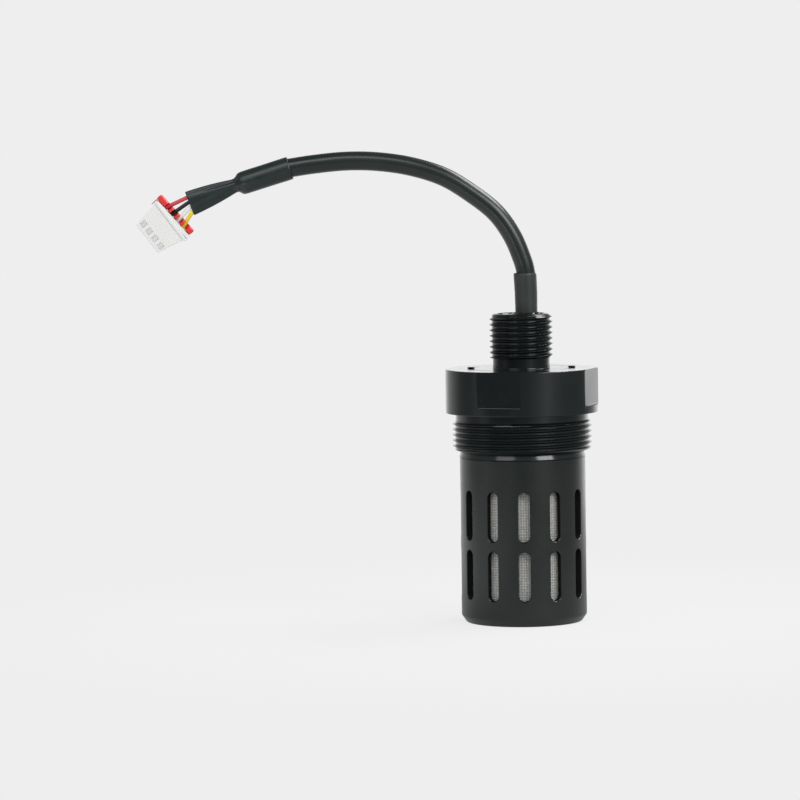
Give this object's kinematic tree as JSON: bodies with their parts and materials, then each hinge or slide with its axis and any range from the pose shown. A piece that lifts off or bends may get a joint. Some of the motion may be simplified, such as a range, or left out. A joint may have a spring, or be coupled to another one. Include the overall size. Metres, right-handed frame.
{
  "type": "laser methane sensor",
  "caption": "Black threaded gas sensor head with a slotted guard over a wire-cloth filter, a spanner flange, a conduit neck and a short cable pigtail with a white plug.",
  "frame": {"origin": "middle of the guard sleeve's flat base, on the turned axis", "axes": "+Z along the turned axis towards the neck; the pigtail arches over towards -X in the plane Y = 0; -Y is the front"},
  "size_m": [0.1255, 0.042, 0.129],
  "materials": {
    "black_anodised": "black anodised",
    "wire_cloth": "woven wire",
    "steel": "turned",
    "black_rubber": "moulded",
    "black_plastic": "moulded",
    "black_resin": "cast",
    "sapphire": "polished",
    "mirror_gold": "polished",
    "board_green": "solder mask",
    "heat_shrink": "shrunk",
    "cable_jacket": "extruded",
    "wire_red": "extruded",
    "wire_black": "extruded",
    "wire_white": "extruded",
    "wire_yellow": "extruded",
    "white_nylon": "moulded",
    "retainer_red": "moulded"
  },
  "bodies": {
    "root": {"guard_sleeve": "black_anodised", "filter_mesh": "wire_cloth", "sensor_body": "black_anodised", "neck_fitting": "black_anodised", "neck_o_ring": "black_rubber", "lock_screw_1": "steel", "lock_screw_2": "steel", "optics_holder": "steel", "retaining_ring": "steel", "window": "sapphire", "window_o_ring": "black_rubber", "laser_diode": "steel", "photodiode": "steel", "temperature_probe": "steel", "mirror_holder": "steel", "cell_mirror": "mirror_gold", "cell_post_1": "steel", "cell_post_2": "steel", "cell_post_3": "steel", "board_post_1": "steel", "board_post_2": "steel", "board_post_3": "steel", "driver_board": "board_green", "main_board": "board_green", "board_header": "black_plastic", "processor_chip": "black_plastic", "strain_relief": "heat_shrink", "potting": "black_resin", "cable": "cable_jacket", "end_sleeve": "heat_shrink", "wire_red": "wire_red", "wire_black": "wire_black", "wire_white": "wire_white", "wire_yellow": "wire_yellow", "plug_housing": "white_nylon", "plug_retainer": "retainer_red", "contact_1": "steel", "contact_2": "steel", "contact_3": "steel", "contact_4": "steel"}
  },
  "joints": []
}
